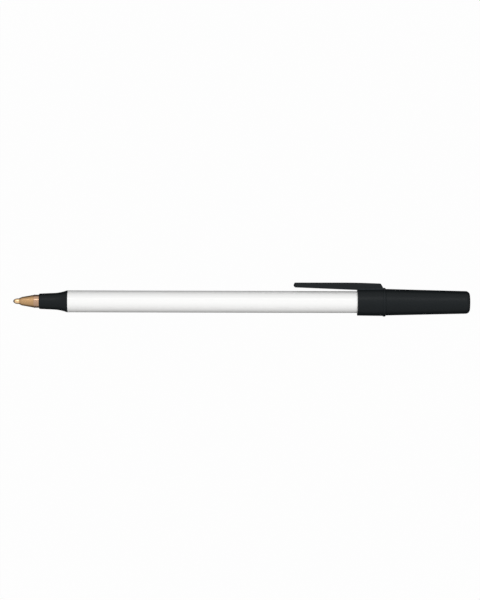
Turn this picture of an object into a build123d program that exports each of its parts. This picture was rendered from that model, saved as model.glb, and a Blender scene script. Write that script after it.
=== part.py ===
from build123d import *
from math import radians, sqrt, tan
import os

# A stick ballpoint pen with its cap posted on the tail. Lengths are millimetres.
# Stations are measured along the pen's axis from the front of the ball towards the cap.
# A lead is the bevel on the end of a piece that is pressed into another.
# Each piece is made with the clip up. The finished pen lies along X as on a table, its bead on the ground,
# the clip to the side of +Y and its middle over the origin.

# Fits and cuts
press_gap = 0.02
slip_gap = 0.07
ball_play = 0.02
film_gap = 0.02
cut_overrun = 0.5
rounding_limit_share = 0.48
lying_turn = -90

# Ball, held in the socket by the rolled lip
ball_radius = 0.5
ball_proud = 0.3

# Brass point: lip, nub, shoulder, cone and collar, then the stem inside the nose
lip_land = 0.08
lip_length = 0.65
nub_wall = 0.40
nub_length = 0.95
nub_draft = 0.08
shoulder_length = 0.9
shoulder_rise = 0.45
cone_length = 4.5
cone_rise = 0.77
collar_bevel_length = 0.3
collar_bevel_rise = 0.07
collar_length = 1.45
stem_radius = 1.6
stem_length = 6.0
stem_lead = 0.25
lip_round = 0.3
shoulder_round = 0.4
feed_radius = 0.3
feed_length = 1.4
point_bore_radius = 0.7
point_bore_cone = 0.5
groove_count = 5
groove_width = 0.14
groove_length = 0.75
groove_reach_share = 0.8

# Nose section: waisted grip end, flare up to the barrel, spigot inside it and nozzle for the tube
nose_rim = 0.39
nose_front_round = 0.33
nose_length = 10.03
nose_draft = 0.34
flare_length = 2.33
flare_land = 0.33
flare_blend = 2.0
spigot_length = 8.1
spigot_lead = 0.5
nozzle_length = 7.0
nozzle_bore_radius = 0.6
nozzle_lead = 0.25
stem_end_gap = 0.3

# Ink tube and the ink in it
tube_radius = 1.6
tube_bore_radius = 1.05
tube_tail_gap = 5.7
ink_fill_share = 0.88
meniscus_depth = 0.45

# Barrel: parallel for most of its length, a little draft, then a tail that tapers for the cap
barrel_radius = 3.82
barrel_bore_radius = 2.75
barrel_length = 120.8
parallel_length = 77.0
barrel_draft = 0.04
barrel_edge_round = 0.15
tail_taper_share = 0.0245

# End plug
plug_head_length = 1.0
plug_head_step = 0.2
plug_head_round = 0.45
plug_spigot_length = 5.0
plug_spigot_lead = 0.4
plug_wall = 0.8
plug_vent_radius = 0.5

# Cap: collar at the mouth, bead, tapering body and a round end with a vent
cap_length = 39.32
post_overlap = 19.7
mouth_gap = 0.11
mouth_chamfer = 0.3
collar_wall = 0.83
collar_swell = 0.08
cap_mouth_round = 0.12
cap_collar_length = 9.42
bead_height = 0.22
bead_width = 0.9
bead_front_round = 0.1
bead_back_round = 0.18
bead_foot_round = 0.12
cap_wall = 0.79
cap_end_wall = 1.2
cap_end_round = 1.4
cap_floor_round = 0.8
cap_vent_radius = 1.1

# Clip, moulded in one with the cap
clip_reach = 22.1
clip_root_sink = 0.5
clip_tip_lift = 0.87
clip_tip_thickness = 1.68
clip_tip_low_round = 0.85
clip_tip_plan_round = 1.2
clip_crest_reach = 0.7
clip_crest_rise = 0.05
clip_crest_blend = 4.2
clip_heel_rise = 1.79
clip_heel_run = 1.22
clip_heel_round = 0.42
clip_root_width = 3.6
clip_tip_width = 3.0
clip_edge_round = 0.5
clip_upright_share = 0.2

# Stations and radii that follow from the sizes above
socket_radius = ball_radius + ball_play
lip_station = ball_proud
lip_radius = sqrt(socket_radius**2 - (ball_radius - ball_proud)**2) + lip_land
nub_station = lip_station + lip_length
nub_radius = socket_radius + nub_wall
shoulder_station = nub_station + nub_length
shoulder_radius = nub_radius + nub_draft
cone_station = shoulder_station + shoulder_length
cone_radius = shoulder_radius + shoulder_rise
bevel_station = cone_station + cone_length
bevel_radius = cone_radius + cone_rise
collar_station = bevel_station + collar_bevel_length
collar_radius = bevel_radius + collar_bevel_rise
nose_station = collar_station + collar_length
stem_end = nose_station + stem_length
feed_end = ball_radius + feed_length

nose_front_radius = collar_radius + nose_rim
flare_radius = nose_front_radius + nose_draft
barrel_station = nose_station + nose_length
flare_station = barrel_station - flare_length
spigot_end = barrel_station + spigot_length
nozzle_end = spigot_end + nozzle_length
stem_bore_end = stem_end + stem_end_gap

barrel_end = barrel_station + barrel_length
tube_end = barrel_end - tube_tail_gap
parallel_end = barrel_station + parallel_length
cap_station = barrel_end - post_overlap
cap_end = cap_station + cap_length
bead_station = cap_station + cap_collar_length
bead_front = bead_station - bead_width / 2
taper_station = bead_station + bead_width / 2
post_radius = barrel_radius - barrel_draft
tail_radius = post_radius - tail_taper_share * (barrel_end - taper_station)

cap_bore_radius = post_radius + mouth_gap
cap_mouth_radius = cap_bore_radius + collar_wall
cap_collar_radius = cap_mouth_radius + collar_swell
bead_radius = cap_collar_radius + bead_height
cap_floor = cap_end - cap_end_wall
taper_bore_radius = post_radius + slip_gap
floor_radius = taper_bore_radius - tail_taper_share * (cap_floor - taper_station)
cap_body_radius = taper_bore_radius + cap_wall
cap_end_radius = cap_body_radius - tail_taper_share * (cap_end - taper_station)
clip_root_height = cap_mouth_radius - clip_root_sink


def room_for_rounding(length, other_rounding):
    """How much of a side one corner's rounding may take, next to the rounding at the side's other end."""
    half = rounding_limit_share * length
    return max(half, 2 * half - other_rounding)


def outline(*corners):
    """Closed outline. Each corner has two coordinates and how far before it its rounding starts."""
    points = [Vector(corner[0], corner[1]) for corner in corners]
    radii = []
    for index, corner in enumerate(corners):
        following = (index + 1) % len(corners)
        before = points[index] - points[index - 1]
        after = points[following] - points[index]
        reach = min(
            corner[2],
            room_for_rounding(before.length, corners[index - 1][2]),
            room_for_rounding(after.length, corners[following][2]),
        )
        radii.append(reach / tan(radians(before.get_angle(after)) / 2))
    return make_face(FilletPolyline(*points, radius=radii, close=True))


def turned(*corners):
    """Solid turned about the pen's axis. Each corner is a station, a radius and a rounding."""
    return revolve(Plane.XZ * outline(*corners), Axis.X)


def placed(solid, middle):
    """Lay a solid down over the ground. The middle is that of the pen's width, measured above its axis."""
    return Pos(-cap_end / 2, -middle, bead_radius) * Rot(X=lying_turn) * solid


def make_ball():
    return Pos(ball_radius, 0, 0) * Sphere(ball_radius)


def make_brass_point():
    body = turned(
        (lip_station, 0, 0),
        (lip_station, lip_radius, 0),
        (nub_station, nub_radius, lip_round),
        (shoulder_station, shoulder_radius, shoulder_round),
        (cone_station, cone_radius, shoulder_round),
        (bevel_station, bevel_radius, 0),
        (collar_station, collar_radius, 0),
        (nose_station, collar_radius, 0),
        (nose_station, stem_radius, 0),
        (stem_end - stem_lead, stem_radius, 0),
        (stem_end, stem_radius - stem_lead, 0),
        (stem_end, 0, 0),
    )
    bore = turned(
        (ball_radius, 0, 0),
        (ball_radius, feed_radius, 0),
        (feed_end, feed_radius, 0),
        (feed_end + point_bore_cone, point_bore_radius, 0),
        (stem_end + cut_overrun, point_bore_radius, 0),
        (stem_end + cut_overrun, 0, 0),
    )
    return body - bore - make_socket()


def make_socket():
    """Hollow that holds the ball, with the grooves behind it that let the ink past."""
    sphere = Pos(ball_radius, 0, 0) * Sphere(socket_radius)
    groove_reach = groove_reach_share * socket_radius
    groove = Pos(groove_reach / 2, 0, groove_length / 2) * Box(groove_reach, groove_width, groove_length)
    grooves = Plane.YZ.offset(ball_radius) * PolarLocations(0, groove_count) * groove
    return sphere + grooves


def make_nose_section():
    nozzle_radius = tube_bore_radius - press_gap
    spigot_radius = barrel_bore_radius - press_gap
    body = turned(
        (nose_station, 0, 0),
        (nose_station, nose_front_radius, nose_front_round),
        (flare_station, flare_radius, flare_blend),
        (barrel_station - flare_land, barrel_radius, 0),
        (barrel_station, barrel_radius, 0),
        (barrel_station, spigot_radius, 0),
        (spigot_end - spigot_lead, spigot_radius, 0),
        (spigot_end, spigot_radius - spigot_lead, 0),
        (spigot_end, nozzle_radius, 0),
        (nozzle_end - nozzle_lead, nozzle_radius, 0),
        (nozzle_end, nozzle_radius - nozzle_lead, 0),
        (nozzle_end, 0, 0),
    )
    bore = turned(
        (nose_station - cut_overrun, 0, 0),
        (nose_station - cut_overrun, stem_radius + press_gap, 0),
        (stem_bore_end, stem_radius + press_gap, 0),
        (stem_bore_end, nozzle_bore_radius, 0),
        (nozzle_end + cut_overrun, nozzle_bore_radius, 0),
        (nozzle_end + cut_overrun, 0, 0),
    )
    return body - bore


def make_ink_tube():
    return turned(
        (spigot_end, tube_bore_radius, 0),
        (spigot_end, tube_radius, 0),
        (tube_end, tube_radius, 0),
        (tube_end, tube_bore_radius, 0),
    )


def make_ink():
    """Ink from the feed hole of the point to the hollow meniscus in the tube."""
    column_radius = tube_bore_radius - film_gap
    column_end = nozzle_end + ink_fill_share * (tube_end - nozzle_end)
    meniscus_radius = (column_radius**2 + meniscus_depth**2) / (2 * meniscus_depth)
    column = turned(
        (feed_end, 0, 0),
        (feed_end, feed_radius - film_gap, 0),
        (feed_end + point_bore_cone, point_bore_radius - film_gap, 0),
        (stem_end, point_bore_radius - film_gap, 0),
        (stem_end, nozzle_bore_radius - film_gap, 0),
        (nozzle_end + film_gap, nozzle_bore_radius - film_gap, 0),
        (nozzle_end + film_gap, column_radius, 0),
        (column_end, column_radius, 0),
        (column_end, 0, 0),
    )
    hollow = Pos(column_end - meniscus_depth + meniscus_radius, 0, 0) * Sphere(meniscus_radius)
    return column - hollow


def make_barrel():
    return turned(
        (barrel_station, barrel_bore_radius, 0),
        (barrel_station, barrel_radius, 0),
        (parallel_end, barrel_radius, 0),
        (taper_station, post_radius, 0),
        (barrel_end, tail_radius, barrel_edge_round),
        (barrel_end, barrel_bore_radius, 0),
    )


def make_end_plug():
    head_end = barrel_end + plug_head_length
    head_radius = tail_radius - plug_head_step
    spigot_radius = barrel_bore_radius - press_gap
    body = turned(
        (barrel_end - plug_spigot_length, 0, 0),
        (barrel_end - plug_spigot_length, spigot_radius - plug_spigot_lead, 0),
        (barrel_end - plug_spigot_length + plug_spigot_lead, spigot_radius, 0),
        (barrel_end, spigot_radius, 0),
        (barrel_end, head_radius, 0),
        (head_end, head_radius, plug_head_round),
        (head_end, 0, 0),
    )
    hollow = turned(
        (barrel_end - plug_spigot_length - cut_overrun, 0, 0),
        (barrel_end - plug_spigot_length - cut_overrun, spigot_radius - plug_wall, 0),
        (barrel_end, spigot_radius - plug_wall, 0),
        (barrel_end, plug_vent_radius, 0),
        (head_end + cut_overrun, plug_vent_radius, 0),
        (head_end + cut_overrun, 0, 0),
    )
    return body - hollow


def make_clip():
    """Blade of the clip: a side outline cut to a plan that narrows towards the tip, with a round top rim."""
    tip = cap_station - clip_reach
    tip_bottom = clip_root_height + clip_tip_lift
    tip_top = tip_bottom + clip_tip_thickness
    heel = bead_station - clip_heel_run
    heel_top = cap_mouth_radius + clip_heel_rise
    side = outline(
        (tip, tip_bottom, clip_tip_low_round),
        (tip, tip_top, 0),
        (cap_station - clip_crest_reach, tip_top + clip_crest_rise, clip_crest_blend),
        (heel, heel_top, clip_heel_round),
        (bead_station, clip_root_height, 0),
        (cap_station, clip_root_height, 0),
    )
    plan = outline(
        (tip, -clip_tip_width / 2, clip_tip_plan_round),
        (bead_station, -clip_root_width / 2, 0),
        (bead_station, clip_root_width / 2, 0),
        (tip, clip_tip_width / 2, clip_tip_plan_round),
    )
    blade = extrude(Plane.XZ * side, clip_root_width, both=True)
    blade = blade & extrude(plan, tip_top + cut_overrun)
    walls = blade.faces().filter_by(lambda face: abs(face.normal_at().Z) < clip_upright_share)
    tops = blade.faces().filter_by(lambda face: face.normal_at().Z > clip_upright_share)
    rims = walls.edges() & tops.edges()
    top_rim = rims.filter_by(lambda edge: edge.center().X < heel + clip_heel_round)
    return fillet(top_rim, clip_edge_round)


def make_cap():
    """Cap and clip in one moulding, hollowed out for the barrel."""
    body = turned(
        (cap_station, 0, 0),
        (cap_station, cap_mouth_radius, cap_mouth_round),
        (bead_front, cap_collar_radius, 0),
        (bead_front, bead_radius, bead_front_round),
        (taper_station, bead_radius, bead_back_round),
        (taper_station, cap_body_radius, bead_foot_round),
        (cap_end, cap_end_radius, cap_end_round),
        (cap_end, 0, 0),
    )
    hollow = turned(
        (cap_station - cut_overrun, 0, 0),
        (cap_station - cut_overrun, cap_bore_radius + mouth_chamfer + cut_overrun, 0),
        (cap_station + mouth_chamfer, cap_bore_radius, 0),
        (bead_station, cap_bore_radius, 0),
        (taper_station, taper_bore_radius, 0),
        (cap_floor, floor_radius, cap_floor_round),
        (cap_floor, cap_vent_radius, 0),
        (cap_end + cut_overrun, cap_vent_radius, 0),
        (cap_end + cut_overrun, 0, 0),
    )
    return body + make_clip() - hollow


pieces = {
    "ball": make_ball(),
    "brass_point": make_brass_point(),
    "nose_section": make_nose_section(),
    "ink_tube": make_ink_tube(),
    "ink": make_ink(),
    "barrel": make_barrel(),
    "end_plug": make_end_plug(),
    "cap": make_cap(),
}

cap_box = pieces["cap"].bounding_box()
pen_middle = (cap_box.min.Z + cap_box.max.Z) / 2
os.makedirs("parts", exist_ok=True)
for name, solid in pieces.items():
    export_step(placed(solid, pen_middle), f"parts/{name}.step")
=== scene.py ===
import math

import bmesh
import bpy
from mathutils import Matrix, Vector


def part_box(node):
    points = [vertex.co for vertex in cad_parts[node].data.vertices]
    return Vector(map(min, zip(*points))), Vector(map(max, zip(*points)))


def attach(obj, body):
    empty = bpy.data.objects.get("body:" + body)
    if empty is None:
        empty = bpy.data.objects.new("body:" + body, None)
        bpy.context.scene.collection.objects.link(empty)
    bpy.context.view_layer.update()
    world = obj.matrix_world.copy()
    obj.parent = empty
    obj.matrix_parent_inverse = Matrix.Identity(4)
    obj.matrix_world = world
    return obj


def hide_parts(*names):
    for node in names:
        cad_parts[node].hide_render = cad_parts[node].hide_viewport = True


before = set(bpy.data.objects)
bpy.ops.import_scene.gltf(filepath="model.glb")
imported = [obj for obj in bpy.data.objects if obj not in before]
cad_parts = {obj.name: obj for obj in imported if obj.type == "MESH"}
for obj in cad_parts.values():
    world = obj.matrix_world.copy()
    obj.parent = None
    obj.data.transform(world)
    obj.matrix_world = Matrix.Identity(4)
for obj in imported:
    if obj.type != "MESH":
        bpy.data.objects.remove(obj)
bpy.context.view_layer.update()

# A stick ballpoint pen that lies along X, its point at -X, with its cap posted on the tail and the clip
# to +Y. Sizes are in metres. Places along the pen are on X, and radii are measured from the pen's axis.
# Each piece is made with the pen's axis on X and the clip up, and is then laid on its side.
ball_low, ball_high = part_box("ball")
point_low, point_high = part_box("brass_point")
nose_low, nose_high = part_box("nose_section")
barrel_low, barrel_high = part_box("barrel")
plug_low, plug_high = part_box("end_plug")
cap_low, cap_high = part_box("cap")
axis_side = (barrel_low.y + barrel_high.y) / 2
axis_height = (barrel_low.z + barrel_high.z) / 2
lying = Matrix.Translation((0, axis_side, axis_height)) @ Matrix.Rotation(math.radians(-90), 4, "X")

# Meshing. An outline is divided before it is turned, so that no side of it is longer than longest_side.
turn_steps = 128
round_steps = 6
longest_side = 0.0030
crease_angle = math.radians(32)
merge_distance = 1e-7

# Ball and brass point
ball_radius = (ball_high.x - ball_low.x) / 2
ball_middle = (ball_low.x + ball_high.x) / 2
ball_divisions = 5
socket_radius = 0.00052
socket_steps = 9
lip_land = 0.00008
lip_length = 0.00065
nub_radius = 0.00092
nub_length = 0.00118
shoulder_radius = 0.00100
shoulder_length = 0.00072
cone_radius = 0.00145
cone_length = 0.00435
bevel_radius = 0.00222
bevel_length = 0.00018
collar_radius = (point_high.y - point_low.y) / 2
lip_round = 0.00030
nub_foot_round = 0.00022
shoulder_round = 0.00040
collar_edge_round = 0.00008
stem_radius = 0.00160
stem_lead = 0.00025
feed_radius = 0.00030
feed_length = 0.00140
point_bore_radius = 0.00070
point_bore_cone = 0.00050

# Nose section
press_gap = 0.00002
nose_front_radius = 0.00268
nose_front_round = 0.00033
flare_radius = 0.00302
flare_length = 0.00233
flare_land = 0.00033
flare_blend = 0.00200
nose_edge_round = 0.00006
spigot_radius = 0.00273
spigot_length = 0.00810
spigot_lead = 0.00050
nozzle_radius = 0.00103
nozzle_lead = 0.00025
nozzle_bore_radius = 0.00060
stem_end_gap = 0.00030

# Barrel
barrel_radius = (barrel_high.z - barrel_low.z) / 2
barrel_bore_radius = 0.00275
parallel_length = 0.07700
post_radius = 0.00378
post_length = 0.11097
tail_radius = 0.00354
barrel_edge_round = 0.00015
barrel_front_round = 0.00008

# End plug
plug_head_length = 0.00100
plug_head_radius = (plug_high.z - plug_low.z) / 2
plug_head_round = 0.00045
plug_spigot_lead = 0.00040
plug_bore_radius = 0.00193
plug_vent_radius = 0.00050

# Cap
cap_length = 0.03932
cap_mouth = cap_high.x - cap_length
cap_mouth_radius = 0.00472
cap_mouth_round = 0.00012
mouth_chamfer = 0.00030
cap_bore_radius = 0.00389
cap_collar_radius = 0.00480
cap_collar_length = 0.00942
bead_middle = cap_mouth + cap_collar_length
bead_radius = (cap_high.z - cap_low.z) / 2
bead_width = 0.00090
bead_front_round = 0.00014
bead_back_round = 0.00024
bead_foot_round = 0.00012
cap_body_radius = 0.00464
cap_end_radius = 0.00392
cap_end_round = 0.00140
taper_bore_radius = 0.00385
cap_floor_radius = 0.00316
cap_floor_round = 0.00080
cap_end_wall = 0.00120
cap_vent_radius = 0.00110
vent_edge_round = 0.00010

# Clip, moulded in one with the cap. Heights are above the pen's axis. The tip slopes on top, and is
# rounded below and in plan.
clip_tip_reach = 0.00012
clip_tip = cap_low.x - clip_tip_reach
clip_tip_bottom = 0.00509
clip_tip_top = 0.00677
clip_tip_low_height = 0.00082
clip_tip_low_run = 0.00075
clip_tip_slope_height = 0.00078
clip_tip_slope_run = 0.00036
clip_tip_slope_blend = 0.00016
clip_tip_plan_round = 0.00120
clip_crest_setback = 0.00070
clip_crest = cap_mouth - clip_crest_setback
clip_crest_top = 0.00682
clip_crest_blend = 0.00420
clip_heel_setback = 0.00122
clip_heel = bead_middle - clip_heel_setback
clip_heel_top = 0.00651
clip_heel_round = 0.00025
clip_root_height = 0.00422
clip_root_setback = 0.00030
clip_root_end = bead_middle - clip_root_setback
clip_tip_width = 0.00300
clip_root_width = 0.00360
clip_edge_round = 0.00050
clip_under_round = 0.00005
clip_fillet = 0.00030
clip_fillet_run = 0.00060


def paint(code):
    """Linear colour of an sRGB hex code."""
    channels = [int(code[i:i + 2], 16) / 255 for i in (1, 3, 5)]
    return (*[c / 12.92 if c <= 0.04045 else ((c + 0.055) / 1.055) ** 2.4 for c in channels], 1)


def add_node(tree, kind, inputs=None, **fields):
    """Add one shader node. Inputs are given by name, as values or as sockets to link."""
    made = tree.nodes.new(kind)
    for field, value in fields.items():
        setattr(made, field, value)
    for name, value in (inputs or {}).items():
        if isinstance(value, bpy.types.NodeSocket):
            tree.links.new(value, made.inputs[name])
        else:
            made.inputs[name].default_value = value
    return made


def new_material(name):
    """A material with an empty node tree."""
    material = bpy.data.materials.new(name)
    material.use_nodes = True
    material.node_tree.nodes.clear()
    return material, material.node_tree


def worn_edges(tree):
    """Share of wear: 1 on edges so sharp that rays inside the piece soon leave it, 0 on open faces."""
    reach = 0.00030
    worn_level, open_level = 0.55, 0.97
    inside = add_node(tree, "ShaderNodeAmbientOcclusion", {"Distance": reach}, inside=True, samples=8)
    wear = add_node(tree, "ShaderNodeMapRange", {
        "Value": inside.outputs["AO"], "From Min": worn_level, "From Max": open_level,
        "To Min": 1.0, "To Max": 0.0})
    return wear.outputs["Result"]


def moulded_black_polypropylene():
    """Black polypropylene moulded in a finely grained tool.

    It gives a soft satin with a faint blue cast and slow changes where the melt flowed, and pockets and
    fingers have polished its edges a little paler. The tool's grain is about 0.05 mm: it is drawn coarser,
    so that it shows.
    """
    material, tree = new_material("moulded_black_polypropylene")
    place = add_node(tree, "ShaderNodeTexCoord").outputs["Object"]
    grain_size, grain_depth = 0.00018, 0.00002
    flow_size = 0.0060
    grain = add_node(tree, "ShaderNodeTexNoise", {"Vector": place, "Scale": 1 / grain_size, "Detail": 3})
    flow = add_node(tree, "ShaderNodeTexNoise", {"Vector": place, "Scale": 1 / flow_size, "Detail": 2})
    wear = worn_edges(tree)
    fresh = add_node(tree, "ShaderNodeMix", {
        "Factor": flow.outputs["Fac"], "A": paint("#0f1315"), "B": paint("#131719")}, data_type="RGBA")
    colour = add_node(tree, "ShaderNodeMix", {
        "Factor": wear, "A": fresh.outputs["Result"], "B": paint("#20262a")}, data_type="RGBA")
    satin = add_node(tree, "ShaderNodeMapRange", {
        "Value": flow.outputs["Fac"], "To Min": 0.36, "To Max": 0.48})
    rough = add_node(tree, "ShaderNodeMapRange", {
        "Value": wear, "To Min": satin.outputs["Result"], "To Max": 0.28})
    bump = add_node(tree, "ShaderNodeBump", {
        "Height": grain.outputs["Fac"], "Strength": 0.25, "Distance": grain_depth})
    shader = add_node(tree, "ShaderNodeBsdfPrincipled", {
        "Base Color": colour.outputs["Result"], "Roughness": rough.outputs["Result"],
        "Normal": bump.outputs["Normal"], "IOR": 1.49, "Specular IOR Level": 0.17})
    add_node(tree, "ShaderNodeOutputMaterial", {"Surface": shader.outputs["BSDF"]})
    return material


def moulded_white_polystyrene():
    """White polystyrene moulded in a polished tool.

    It gives a bright gloss with faint lengthwise lines, where the long tube dragged along the tool as it
    was drawn out. Real lines are about 0.1 mm wide: they are drawn coarser, so that they show.
    """
    material, tree = new_material("moulded_white_polystyrene")
    place = add_node(tree, "ShaderNodeTexCoord").outputs["Object"]
    line_length, line_width, line_depth = 0.0300, 0.0005, 0.00002
    stretched = add_node(tree, "ShaderNodeMapping", {
        "Vector": place, "Scale": (1 / line_length, 1 / line_width, 1 / line_width)})
    lines = add_node(tree, "ShaderNodeTexNoise", {
        "Vector": stretched.outputs["Vector"], "Scale": 1, "Detail": 2})
    colour = add_node(tree, "ShaderNodeMix", {
        "Factor": lines.outputs["Fac"], "A": paint("#f4f4f3"), "B": paint("#f8f8f7")}, data_type="RGBA")
    rough = add_node(tree, "ShaderNodeMapRange", {
        "Value": lines.outputs["Fac"], "To Min": 0.18, "To Max": 0.30})
    bump = add_node(tree, "ShaderNodeBump", {
        "Height": lines.outputs["Fac"], "Strength": 0.15, "Distance": line_depth})
    shader = add_node(tree, "ShaderNodeBsdfPrincipled", {
        "Base Color": colour.outputs["Result"], "Roughness": rough.outputs["Result"],
        "Normal": bump.outputs["Normal"], "IOR": 1.59, "Specular IOR Level": 0.25})
    add_node(tree, "ShaderNodeOutputMaterial", {"Surface": shader.outputs["BSDF"]})
    return material


def brass_zones(tree, place):
    """Shares of the smoother nub and its painted highlight, the skimmed collar and the lip's painted shade,
    by the distance from the tip.
    """
    front = point_low.x
    burnish_highlight_full, burnish_highlight_gone = 0.00160, 0.00205
    collar_start = lip_length + nub_length + shoulder_length + cone_length
    collar_fade = 0.00010
    lip_shade_full, lip_shade_gone = 0.00012, 0.00042
    lip_shade_depth = 0.92
    along = add_node(tree, "ShaderNodeSeparateXYZ", {"Vector": place}).outputs["X"]
    # Painted highlight: the nub is smoother here, and its colour is also made brighter to stand for its
    # highlight.
    burnish_and_highlight = add_node(tree, "ShaderNodeMapRange", {
        "Value": along, "From Min": front + burnish_highlight_full, "From Max": front + burnish_highlight_gone,
        "To Min": 1.0, "To Max": 0.0})
    skimmed = add_node(tree, "ShaderNodeMapRange", {
        "Value": along, "From Min": front + collar_start, "From Max": front + collar_start + collar_fade})
    # Painted shade: the lip's front is darkened to stand for the dark rim at the point's front edge.
    lip_shade = add_node(tree, "ShaderNodeMapRange", {
        "Value": along, "From Min": front + lip_shade_full, "From Max": front + lip_shade_gone,
        "To Min": lip_shade_depth, "To Max": 0.0})
    return burnish_and_highlight.outputs["Result"], skimmed.outputs["Result"], lip_shade.outputs["Result"]


def turned_brass():
    """Brass bar turned to shape.

    It gives a warm bright metal with the tool's fine rings round it, dulled in patches by a film of
    tarnish. Rolling the lip over the ball left the nub smoother, and there its colour is painted brighter
    as a painted highlight. The collar is skimmed smooth. The lip's front is painted dark: painted shade
    for the dark rim the point shows at its front edge. The tool's feed is about 0.04 mm a turn: the rings
    are drawn coarser, so that they show.
    """
    material, tree = new_material("turned_brass")
    place = add_node(tree, "ShaderNodeTexCoord").outputs["Object"]
    ring_pitch, ring_depth = 0.00012, 0.000008
    # At a scale of 1 the wave texture draws this many bands to a metre.
    bands_per_unit = 20 / math.tau
    tarnish_size = 0.0012
    rings = add_node(tree, "ShaderNodeTexWave", {
        "Vector": place, "Scale": 1 / (ring_pitch * bands_per_unit), "Distortion": 0.4,
        "Detail": 1}, wave_type="BANDS", bands_direction="X")
    tarnish = add_node(tree, "ShaderNodeTexNoise", {
        "Vector": place, "Scale": 1 / tarnish_size, "Detail": 4}).outputs["Fac"]
    burnish_and_highlight, skimmed, lip_shade = brass_zones(tree, place)
    dulled = add_node(tree, "ShaderNodeMix", {
        "Factor": tarnish, "A": paint("#b89267"), "B": paint("#c39e73")}, data_type="RGBA")
    clean = add_node(tree, "ShaderNodeMix", {
        "Factor": skimmed, "A": dulled.outputs["Result"], "B": paint("#b8967c")}, data_type="RGBA")
    # Painted highlight: the nub's colour is brightened.
    bright = add_node(tree, "ShaderNodeMix", {
        "Factor": burnish_and_highlight, "A": clean.outputs["Result"], "B": paint("#f0cb9c")}, data_type="RGBA")
    # Painted shade: the lip's front is darkened.
    colour = add_node(tree, "ShaderNodeMix", {
        "Factor": lip_shade, "A": bright.outputs["Result"], "B": paint("#2c2622")}, data_type="RGBA")
    as_turned = add_node(tree, "ShaderNodeMapRange", {"Value": tarnish, "To Min": 0.30, "To Max": 0.40})
    smooth = add_node(tree, "ShaderNodeMapRange", {
        "Value": skimmed, "To Min": as_turned.outputs["Result"], "To Max": 0.24})
    rough = add_node(tree, "ShaderNodeMapRange", {
        "Value": burnish_and_highlight, "To Min": smooth.outputs["Result"], "To Max": 0.18})
    film = add_node(tree, "ShaderNodeMapRange", {"Value": tarnish, "To Min": 0.72, "To Max": 0.90})
    bump = add_node(tree, "ShaderNodeBump", {
        "Height": rings.outputs["Fac"], "Strength": 0.2, "Distance": ring_depth})
    shader = add_node(tree, "ShaderNodeBsdfPrincipled", {
        "Base Color": colour.outputs["Result"], "Roughness": rough.outputs["Result"],
        "Normal": bump.outputs["Normal"], "Metallic": film.outputs["Result"]})
    add_node(tree, "ShaderNodeOutputMaterial", {"Surface": shader.outputs["BSDF"]})
    return material


def lapped_carbide():
    """Tungsten carbide, ground and lapped.

    It gives a dark bright grey, dulled in patches by the ink that the ball carries.
    """
    material, tree = new_material("lapped_carbide")
    place = add_node(tree, "ShaderNodeTexCoord").outputs["Object"]
    film_size = 0.0004
    film = add_node(tree, "ShaderNodeTexNoise", {"Vector": place, "Scale": 1 / film_size, "Detail": 3})
    colour = add_node(tree, "ShaderNodeMix", {
        "Factor": film.outputs["Fac"], "A": paint("#2e2d2c"), "B": paint("#565351")}, data_type="RGBA")
    rough = add_node(tree, "ShaderNodeMapRange", {
        "Value": film.outputs["Fac"], "To Min": 0.14, "To Max": 0.34})
    shader = add_node(tree, "ShaderNodeBsdfPrincipled", {
        "Base Color": colour.outputs["Result"], "Roughness": rough.outputs["Result"], "Metallic": 1.0})
    add_node(tree, "ShaderNodeOutputMaterial", {"Surface": shader.outputs["BSDF"]})
    return material


def extruded_clear_polypropylene():
    """Natural polypropylene drawn through a die.

    It gives a clear tube with a milky haze and lines along it from the die. Real die lines are about
    0.1 mm wide: they are drawn coarser, so that they show.
    """
    material, tree = new_material("extruded_clear_polypropylene")
    place = add_node(tree, "ShaderNodeTexCoord").outputs["Object"]
    line_length, line_width = 0.0200, 0.0004
    stretched = add_node(tree, "ShaderNodeMapping", {
        "Vector": place, "Scale": (1 / line_length, 1 / line_width, 1 / line_width)})
    lines = add_node(tree, "ShaderNodeTexNoise", {
        "Vector": stretched.outputs["Vector"], "Scale": 1, "Detail": 2})
    rough = add_node(tree, "ShaderNodeMapRange", {
        "Value": lines.outputs["Fac"], "To Min": 0.22, "To Max": 0.40})
    shader = add_node(tree, "ShaderNodeBsdfPrincipled", {
        "Base Color": paint("#e9ecea"), "Roughness": rough.outputs["Result"], "IOR": 1.49,
        "Transmission Weight": 0.75})
    add_node(tree, "ShaderNodeOutputMaterial", {"Surface": shader.outputs["BSDF"]})
    return material


def ballpoint_ink():
    """Thick black ballpoint ink. It gives a wet gloss, with a violet cast where it thins."""
    material, tree = new_material("ballpoint_ink")
    place = add_node(tree, "ShaderNodeTexCoord").outputs["Object"]
    streak_size = 0.0030
    streaks = add_node(tree, "ShaderNodeTexNoise", {"Vector": place, "Scale": 1 / streak_size, "Detail": 2})
    colour = add_node(tree, "ShaderNodeMix", {
        "Factor": streaks.outputs["Fac"], "A": paint("#08080c"), "B": paint("#12101c")}, data_type="RGBA")
    shader = add_node(tree, "ShaderNodeBsdfPrincipled", {
        "Base Color": colour.outputs["Result"], "Roughness": 0.08, "IOR": 1.48})
    add_node(tree, "ShaderNodeOutputMaterial", {"Surface": shader.outputs["BSDF"]})
    return material


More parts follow.
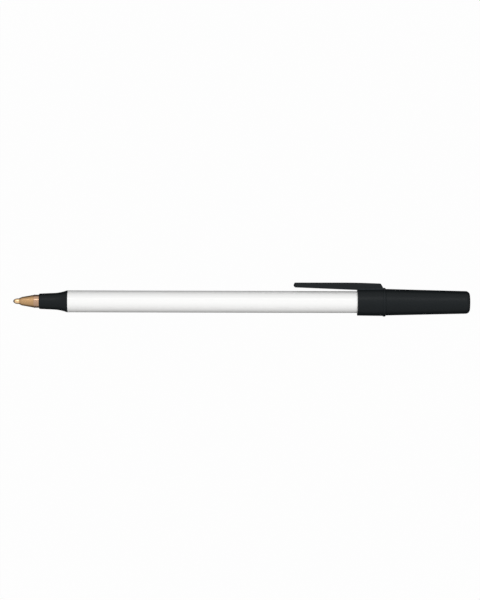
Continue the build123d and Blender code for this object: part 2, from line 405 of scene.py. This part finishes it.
def turned(*corners):
    """Mesh turned about the pen's axis from a closed outline.

    Each corner is a place, a radius and how far from the corner its rounding starts.
    """
    mesh = bmesh.new()
    points = [mesh.verts.new((place, 0, radius)) for place, radius, rounding in corners]
    for point, following in zip(points, points[1:] + points[:1]):
        mesh.edges.new((point, following))
    for point, (place, radius, rounding) in zip(points, corners):
        if rounding > 0:
            bmesh.ops.bevel(mesh, geom=[point], offset=rounding, offset_type="ABSOLUTE", affect="VERTICES",
                            segments=round_steps, profile=0.5, material=-1)
    for edge in mesh.edges[:]:
        cuts = int(edge.calc_length() / longest_side)
        if cuts:
            bmesh.ops.subdivide_edges(mesh, edges=[edge], cuts=cuts)
    bmesh.ops.spin(mesh, geom=mesh.verts[:] + mesh.edges[:], cent=(0, 0, 0), axis=(1, 0, 0),
                   angle=math.tau, steps=turn_steps, use_merge=True)
    bmesh.ops.remove_doubles(mesh, verts=mesh.verts[:], dist=merge_distance)
    bmesh.ops.recalc_face_normals(mesh, faces=mesh.faces[:])
    return mesh


def piece_from(mesh, name, body, node, material):
    """Lay a mesh down as a piece with its finish, in the place of a CAD node and on that node's body."""
    bmesh.ops.transform(mesh, matrix=lying, verts=mesh.verts[:])
    data = bpy.data.meshes.new(name)
    mesh.to_mesh(data)
    mesh.free()
    data.materials.append(material)
    data.shade_smooth()
    data.set_sharp_from_angle(angle=crease_angle)
    piece = bpy.data.objects.new(name, data)
    bpy.context.scene.collection.objects.link(piece)
    normals = piece.modifiers.new("even_shading", "WEIGHTED_NORMAL")
    normals.keep_sharp = True
    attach(piece, body)
    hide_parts(node)


def make_ball():
    """Ball that rolls in the point's lip."""
    mesh = bmesh.new()
    bmesh.ops.create_icosphere(mesh, subdivisions=ball_divisions, radius=ball_radius)
    bmesh.ops.translate(mesh, verts=mesh.verts[:], vec=(ball_middle, 0, 0))
    piece_from(mesh, "point_ball", "ball", "ball", lapped_carbide())


def ball_socket():
    """Corners of the ball's socket, from the feed bore round to the lip that closes over the ball."""
    lip_angle = math.acos((ball_middle - point_low.x) / socket_radius)
    feed_angle = math.asin(feed_radius / socket_radius)
    sweep = math.pi - lip_angle - feed_angle
    corners = []
    for step in range(socket_steps + 1):
        angle = feed_angle + sweep * step / socket_steps
        corners.append((ball_middle + socket_radius * math.cos(angle), socket_radius * math.sin(angle), 0))
    return corners


def make_brass_point():
    """Turned point: lip rolled over the ball, nub, shoulder, cone, collar and the stem inside the nose."""
    front = point_low.x
    nub = front + lip_length
    shoulder = nub + nub_length
    cone = shoulder + shoulder_length
    bevel = cone + cone_length
    collar = bevel + bevel_length
    collar_end = nose_low.x
    stem_end = point_high.x
    feed_end = ball_middle + feed_length
    socket = ball_socket()
    lip_radius = socket[-1][1]
    mesh = turned(
        (front, lip_radius + lip_land, 0),
        (nub, nub_radius, lip_round),
        (shoulder, shoulder_radius, nub_foot_round),
        (cone, cone_radius, shoulder_round),
        (bevel, bevel_radius, collar_edge_round),
        (collar, collar_radius, collar_edge_round),
        (collar_end, collar_radius, 0),
        (collar_end, stem_radius, 0),
        (stem_end - stem_lead, stem_radius, 0),
        (stem_end, stem_radius - stem_lead, 0),
        (stem_end, point_bore_radius, 0),
        (feed_end + point_bore_cone, point_bore_radius, 0),
        (feed_end, feed_radius, 0),
        *socket,
    )
    piece_from(mesh, "turned_point", "pen_body", "brass_point", turned_brass())


def make_nose(plastic):
    """Waisted nose with its flare, the spigot inside the barrel and the nozzle for the ink tube."""
    front = nose_low.x
    shoulder = barrel_low.x
    spigot_end = shoulder + spigot_length
    nozzle_end = nose_high.x
    stem_bore_end = point_high.x + stem_end_gap
    mesh = turned(
        (front, stem_radius + press_gap, 0),
        (front, nose_front_radius, nose_front_round),
        (shoulder - flare_length, flare_radius, flare_blend),
        (shoulder - flare_land, barrel_radius, nose_edge_round),
        (shoulder, barrel_radius, nose_edge_round),
        (shoulder, spigot_radius, 0),
        (spigot_end - spigot_lead, spigot_radius, 0),
        (spigot_end, spigot_radius - spigot_lead, 0),
        (spigot_end, nozzle_radius, 0),
        (nozzle_end - nozzle_lead, nozzle_radius, 0),
        (nozzle_end, nozzle_radius - nozzle_lead, 0),
        (nozzle_end, nozzle_bore_radius, 0),
        (stem_bore_end, nozzle_bore_radius, 0),
        (stem_bore_end, stem_radius + press_gap, 0),
    )
    piece_from(mesh, "nose_moulding", "pen_body", "nose_section", plastic)


def make_barrel():
    """Tube that is parallel for most of its length and tapers to the tail."""
    front = barrel_low.x
    back = barrel_high.x
    mesh = turned(
        (front, barrel_bore_radius, 0),
        (front, barrel_radius, barrel_front_round),
        (front + parallel_length, barrel_radius, 0),
        (front + post_length, post_radius, 0),
        (back, tail_radius, barrel_edge_round),
        (back, barrel_bore_radius, 0),
    )
    finish = moulded_white_polystyrene()
    piece_from(mesh, "barrel_tube", "pen_body", "barrel", finish)


def make_end_plug(plastic):
    """Hollow plug with a round head that closes the barrel's tail."""
    front = plug_low.x
    back = plug_high.x
    seat = back - plug_head_length
    mesh = turned(
        (front, plug_bore_radius, 0),
        (front, spigot_radius - plug_spigot_lead, 0),
        (front + plug_spigot_lead, spigot_radius, 0),
        (seat, spigot_radius, 0),
        (seat, plug_head_radius, 0),
        (back, plug_head_radius, plug_head_round),
        (back, plug_vent_radius, vent_edge_round),
        (seat, plug_vent_radius, 0),
        (seat, plug_bore_radius, 0),
    )
    piece_from(mesh, "plug_moulding", "pen_body", "end_plug", plastic)


def round_off(distance, run, height):
    """How far a rounded end lies inside its straight side, at a distance from the end."""
    share = max(0, 1 - distance / run)
    return height * (1 - math.sqrt(1 - share ** 2))


def blended(x, slope_before, slope_after, blend):
    """Height of a corner at zero between two slopes, rounded off over a blend to each side."""
    if x < -blend:
        return slope_before * x
    if x > blend:
        return slope_after * x
    return slope_before * x + (slope_after - slope_before) * (x + blend) ** 2 / (4 * blend)


def clip_top(x):
    """Height of the clip's top: sloping tip, long flat crest and the heel behind it."""
    rise = (clip_crest_top - clip_tip_top) / (clip_crest - clip_tip)
    fall = (clip_heel_top - clip_crest_top) / (clip_heel - clip_crest)
    drop = (clip_root_height - clip_heel_top) / (bead_middle - clip_heel)
    height = clip_crest_top
    height += blended(x - clip_crest, rise, fall, clip_crest_blend)
    height += blended(x - clip_heel, 0, drop - fall, clip_heel_round)
    tip_slope = clip_tip_slope_height / clip_tip_slope_run
    return height + blended(x - clip_tip - clip_tip_slope_run, tip_slope, 0, clip_tip_slope_blend)


def clip_bottom(x):
    """Height of the clip's underside, which runs down to the mouth of the cap."""
    share = min(1, (x - clip_tip) / (cap_mouth - clip_tip))
    height = clip_tip_bottom + (clip_root_height - clip_tip_bottom) * share
    return height + round_off(x - clip_tip, clip_tip_low_run, clip_tip_low_height)


def clip_half_width(x):
    """Half the clip's width, which narrows to a rounded tip."""
    share = (x - clip_tip) / (bead_middle - clip_tip)
    width = clip_tip_width + (clip_root_width - clip_tip_width) * share
    return width / 2 - round_off(x - clip_tip, clip_tip_plan_round, clip_tip_plan_round)


def collar_fillet(x, half):
    """Fillet between the clip's side and the collar, from the side down to the collar."""
    share = max(0, min(1, (x - cap_mouth) / (cap_collar_length - bead_width / 2)))
    collar = cap_mouth_radius + (cap_collar_radius - cap_mouth_radius) * share
    across = half + clip_fillet
    height = math.sqrt((collar + clip_fillet) ** 2 - across ** 2)
    sweep = math.atan2(height, across)
    turns = [math.pi + sweep * step / round_steps for step in range(round_steps + 1)]
    return [(across + clip_fillet * math.cos(turn), height + clip_fillet * math.sin(turn))
            for turn in turns]


def clip_section(x):
    """Right half of the clip's section at a place, from the top's middle round to the bottom's middle.

    The roundings shrink where the tip is thin, and behind the cap's mouth the foot is seated on the collar.
    """
    top, bottom, half = clip_top(x), clip_bottom(x), clip_half_width(x)
    edge = min(clip_edge_round, (top - bottom) / 3, half / 2)
    under = min(clip_under_round, (top - bottom) / 4)
    quarter = [math.pi / 2 * step / round_steps for step in range(round_steps + 1)]
    rim = [(half - edge + edge * math.sin(turn), top - edge + edge * math.cos(turn)) for turn in quarter]
    free = [(half - under + under * math.cos(turn), bottom + under - under * math.sin(turn))
            for turn in quarter]
    seated = collar_fillet(x, half)
    share = max(0, min(1, (x - cap_mouth - cap_mouth_round) / clip_fillet_run))
    foot = [Vector(start).lerp(Vector(end), share) for start, end in zip(free, seated)]
    return [(0, top), (half / 2, top), *rim, *foot, (half / 2, bottom), (0, bottom)]


def spaced(start, end, steps, first):
    """Places in even steps from a start to an end, beginning at the step given as the first."""
    return [start + (end - start) * step / steps for step in range(first, steps + 1)]


def clip_places():
    """Places along the clip where its section is drawn, close together at the tip, mouth and heel."""
    tip_degrees = range(6, 91, 7)
    tip = [clip_tip + clip_tip_plan_round * (1 - math.cos(math.radians(turn))) for turn in tip_degrees]
    blade = spaced(clip_tip, cap_mouth, steps=16, first=2)
    fillet_start = cap_mouth + cap_mouth_round
    fillet = spaced(fillet_start, fillet_start + clip_fillet_run, steps=4, first=0)
    root = spaced(cap_mouth, clip_heel - clip_heel_round, steps=5, first=1)
    heel = spaced(clip_heel, clip_root_end, steps=8, first=-1)
    return sorted([clip_tip, *tip, *blade, *fillet, *root, *heel])


def add_clip(mesh):
    """Add the clip to the cap's mesh: closed sections along it, bridged and closed at both ends."""
    edges = []
    loops = []
    for x in clip_places():
        half = clip_section(x)
        whole = half + [(-y, z) for y, z in half[-2:0:-1]]
        ring = [mesh.verts.new((x, y, z)) for y, z in whole]
        loop = [mesh.edges.new(pair) for pair in zip(ring, ring[1:] + ring[:1])]
        edges += loop
        loops.append(loop)
    skin = bmesh.ops.bridge_loops(mesh, edges=edges)["faces"]
    ends = bmesh.ops.holes_fill(mesh, edges=loops[0] + loops[-1])["faces"]
    bmesh.ops.recalc_face_normals(mesh, faces=skin + ends)


def make_cap(plastic):
    """Cap and clip in one: collar, bead, tapering body, round end with a vent, and the barrel's hollow."""
    bead_front = bead_middle - bead_width / 2
    bead_back = bead_middle + bead_width / 2
    cap_floor = cap_high.x - cap_end_wall
    mesh = turned(
        (cap_mouth, cap_bore_radius + mouth_chamfer, 0),
        (cap_mouth, cap_mouth_radius, cap_mouth_round),
        (bead_front, cap_collar_radius, 0),
        (bead_front, bead_radius, bead_front_round),
        (bead_back, bead_radius, bead_back_round),
        (bead_back, cap_body_radius, bead_foot_round),
        (cap_high.x, cap_end_radius, cap_end_round),
        (cap_high.x, cap_vent_radius, vent_edge_round),
        (cap_floor, cap_vent_radius, 0),
        (cap_floor, cap_floor_radius, cap_floor_round),
        (bead_back, taper_bore_radius, 0),
        (bead_middle, cap_bore_radius, 0),
        (cap_mouth + mouth_chamfer, cap_bore_radius, 0),
    )
    add_clip(mesh)
    piece_from(mesh, "cap_moulding", "cap", "cap", plastic)


def dress_node(node, material):
    """Give its finish to a CAD node that stays in the scene."""
    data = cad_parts[node].data
    data.materials.clear()
    data.materials.append(material)


def pale_paper():
    """Matt paper: white to the camera, pale in the light it gives back, and dark in gloss near the pen.

    Its darkness in gloss near the pen is painted shade, standing for the shade beside the pen that the pen
    mirrors. A little of the pen's shade is left on it near the pen.
    """
    shade_near, shade_far = 0.10, 0.35
    near_share = 0.985
    mirror_near, mirror_far = 0.02, 0.30
    material, tree = new_material("pale_paper")
    # The white is no lamp: sampled as one, it would only add noise.
    material.cycles.emission_sampling = "NONE"
    path = add_node(tree, "ShaderNodeLightPath")
    place = add_node(tree, "ShaderNodeTexCoord").outputs["Object"]
    reach = add_node(tree, "ShaderNodeVectorMath", {0: place}, operation="LENGTH")
    shown = add_node(tree, "ShaderNodeMapRange", {
        "Value": reach.outputs["Value"], "From Min": shade_near, "From Max": shade_far,
        "To Min": near_share, "To Max": 1.0})
    across = add_node(tree, "ShaderNodeSeparateXYZ", {"Vector": place})
    aside = add_node(tree, "ShaderNodeMath", {0: across.outputs["Y"]}, operation="ABSOLUTE")
    mirrored = add_node(tree, "ShaderNodeMapRange", {
        "Value": aside.outputs["Value"], "From Min": mirror_near, "From Max": mirror_far})
    seen = add_node(tree, "ShaderNodeMath", {
        0: path.outputs["Is Camera Ray"], 1: path.outputs["Is Transmission Ray"]}, operation="MAXIMUM")
    direct = add_node(tree, "ShaderNodeMath", {
        0: seen.outputs["Value"], 1: shown.outputs["Result"]}, operation="MULTIPLY")
    glossy = add_node(tree, "ShaderNodeMath", {
        0: path.outputs["Is Glossy Ray"], 1: mirrored.outputs["Result"]}, operation="MULTIPLY")
    white_share = add_node(tree, "ShaderNodeMath", {
        0: direct.outputs["Value"], 1: glossy.outputs["Value"]}, operation="MAXIMUM")
    # Painted shade: to all rays but diffuse ones the paper is dark grey, so that near the pen the pen's
    # gloss mirrors it dark.
    grey = add_node(tree, "ShaderNodeMix", {
        "Factor": path.outputs["Is Diffuse Ray"], "A": paint("#303030"), "B": paint("#989898")},
        data_type="RGBA")
    paper = add_node(tree, "ShaderNodeBsdfDiffuse", {"Color": grey.outputs["Result"]})
    white = add_node(tree, "ShaderNodeEmission", {"Color": paint("#ffffff"), "Strength": 1.0})
    surface = add_node(tree, "ShaderNodeMixShader", {
        0: white_share.outputs["Value"], 1: paper.outputs["BSDF"], 2: white.outputs["Emission"]})
    add_node(tree, "ShaderNodeOutputMaterial", {"Surface": surface.outputs["Shader"]})
    return material


def make_floor():
    """Plain pale floor that the pen lies on."""
    floor_radius = 1.5
    mesh = bmesh.new()
    bmesh.ops.create_circle(mesh, cap_ends=True, segments=64, radius=floor_radius)
    data = bpy.data.meshes.new("floor")
    mesh.to_mesh(data)
    mesh.free()
    data.materials.append(pale_paper())
    floor = bpy.data.objects.new("floor", data)
    bpy.context.scene.collection.objects.link(floor)


def make_world():
    """White surroundings in the picture.

    Their light, and their mirror image in the pen, fade away from the clip's side.
    """
    light_lean = math.radians(28)
    light_level = 0.08
    mirror_level = 0.75
    mirror_from, mirror_to = -0.3, 0.8
    above = (0, math.sin(light_lean), math.cos(light_lean))
    world = bpy.data.worlds.new("studio")
    world.use_nodes = True
    tree = world.node_tree
    tree.nodes.clear()
    path = add_node(tree, "ShaderNodeLightPath")
    direction = add_node(tree, "ShaderNodeTexCoord").outputs["Generated"]
    facing = add_node(tree, "ShaderNodeVectorMath", {0: direction, 1: above}, operation="DOT_PRODUCT")
    dome = add_node(tree, "ShaderNodeMapRange", {
        "Value": facing.outputs["Value"], "From Min": -1.0, "From Max": 1.0,
        "To Min": 0.0, "To Max": light_level})
    mirrored = add_node(tree, "ShaderNodeMapRange", {
        "Value": facing.outputs["Value"], "From Min": mirror_from, "From Max": mirror_to,
        "To Min": mirror_level, "To Max": 1.0})
    lit = add_node(tree, "ShaderNodeMapRange", {
        "Value": path.outputs["Is Glossy Ray"],
        "To Min": dome.outputs["Result"], "To Max": mirrored.outputs["Result"]})
    seen = add_node(tree, "ShaderNodeMath", {
        0: path.outputs["Is Camera Ray"], 1: path.outputs["Is Transmission Ray"]}, operation="MAXIMUM")
    level = add_node(tree, "ShaderNodeMapRange", {
        "Value": seen.outputs["Value"], "To Min": lit.outputs["Result"], "To Max": 1.0})
    light = add_node(tree, "ShaderNodeBackground", {
        "Color": paint("#ffffff"), "Strength": level.outputs["Result"]})
    add_node(tree, "ShaderNodeOutputWorld", {"Surface": light.outputs["Background"]})
    bpy.context.scene.world = world


def add_softbox(name, lean, width, height, watts, mirrors):
    """Area lamp over the pen, leaning from upright towards the clip's side.

    A lamp that mirrors shows in gloss.
    """
    distance = 0.85
    lamp = bpy.data.lights.new(name, "AREA")
    lamp.shape = "RECTANGLE"
    lamp.size = width
    lamp.size_y = height
    lamp.energy = watts
    away = Vector((0, math.sin(lean), math.cos(lean)))
    box = bpy.data.objects.new(name, lamp)
    box.location = Vector((0, 0, axis_height)) + away * distance
    box.rotation_euler = away.to_track_quat("Z", "Y").to_euler()
    box.visible_camera = False
    box.visible_glossy = mirrors
    bpy.context.scene.collection.objects.link(box)


def make_camera():
    """Camera straight above the pen as it lies, a little rolled, as the photograph is taken."""
    picture_width, picture_height = 480, 600
    metres_per_pixel = 0.0003493
    distance = 1.000
    middle_column = 241.46
    axis_row = 301.8
    roll = math.radians(0.16)
    data = bpy.data.cameras.new("camera")
    data.sensor_fit = "AUTO"
    data.lens = data.sensor_width * distance / (picture_height * metres_per_pixel)
    camera = bpy.data.objects.new("camera", data)
    aside = (picture_width / 2 - middle_column) * metres_per_pixel
    above = (axis_row - picture_height / 2) * metres_per_pixel
    camera.matrix_world = (
        lying
        @ Matrix.Translation((aside, -distance, above))
        @ Matrix.Rotation(math.pi / 2, 4, "X")
        @ Matrix.Rotation(roll, 4, "Z")
    )
    bpy.context.scene.collection.objects.link(camera)
    bpy.context.scene.camera = camera


bpy.context.scene.view_settings.view_transform = "Standard"
moulded_black = moulded_black_polypropylene()
make_ball()
make_brass_point()
make_nose(moulded_black)
make_barrel()
make_end_plug(moulded_black)
make_cap(moulded_black)
dress_node("ink_tube", extruded_clear_polypropylene())
dress_node("ink", ballpoint_ink())
make_floor()
make_world()
add_softbox("key", lean=math.radians(-3), width=0.90, height=0.40, watts=7.3, mirrors=False)
add_softbox("strip", lean=math.radians(32), width=0.80, height=0.09, watts=1.3, mirrors=True)
make_camera()
